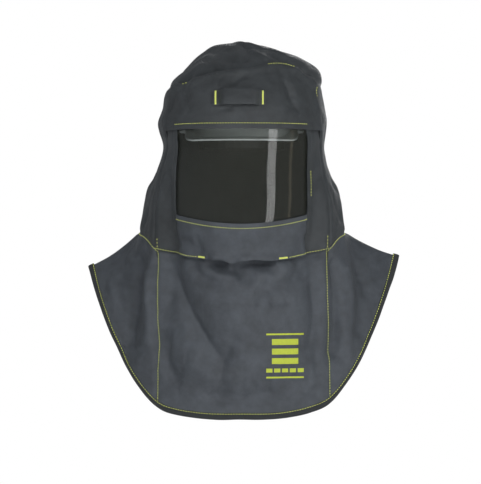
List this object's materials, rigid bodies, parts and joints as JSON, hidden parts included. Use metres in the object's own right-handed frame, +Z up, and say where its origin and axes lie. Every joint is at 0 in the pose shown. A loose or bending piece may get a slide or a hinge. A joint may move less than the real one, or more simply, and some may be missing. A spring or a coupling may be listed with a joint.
{
  "type": "arc flash hood",
  "caption": "Sewn grey safety hood with a wide tinted window, a lamp loop, a shoulder cape with bound hem and a hard hat inside.",
  "frame": {"origin": "head seat: where the crown of the wearer's head meets the straps inside the hat", "axes": "+Z up, -Y the way the window faces, +X the wearer's left"},
  "size_m": [0.5759, 0.3577, 0.6864],
  "materials": {
    "hood_cloth": "dark grey woven",
    "cape_cloth": "grey woven, slightly shiny",
    "binding": "dark woven tape",
    "shield": "green grey tint, glossy",
    "hat": "light grey moulded",
    "suspension": "black moulded",
    "webbing": "black webbing"
  },
  "bodies": {
    "root": {"crown_panel": "hood_cloth", "forehead_panel": "hood_cloth", "side_panel_left": "hood_cloth", "side_panel_right": "hood_cloth", "back_panel": "hood_cloth", "window_strip_left": "hood_cloth", "window_strip_right": "hood_cloth", "chin_panel": "cape_cloth", "bib_front": "cape_cloth", "front_wing_left": "cape_cloth", "front_wing_right": "cape_cloth", "rear_wing_left": "cape_cloth", "rear_wing_right": "cape_cloth", "cape_back": "cape_cloth", "hem_binding": "binding", "lamp_loop": "hood_cloth", "face_shield": "shield", "shield_carrier": "suspension", "hard_hat_shell": "hat", "headband": "suspension", "crown_strap_across": "webbing", "crown_strap_along": "webbing", "band_hanger_front_left": "suspension", "band_hanger_front_right": "suspension", "band_hanger_rear_left": "suspension", "band_hanger_rear_right": "suspension"}
  },
  "joints": []
}
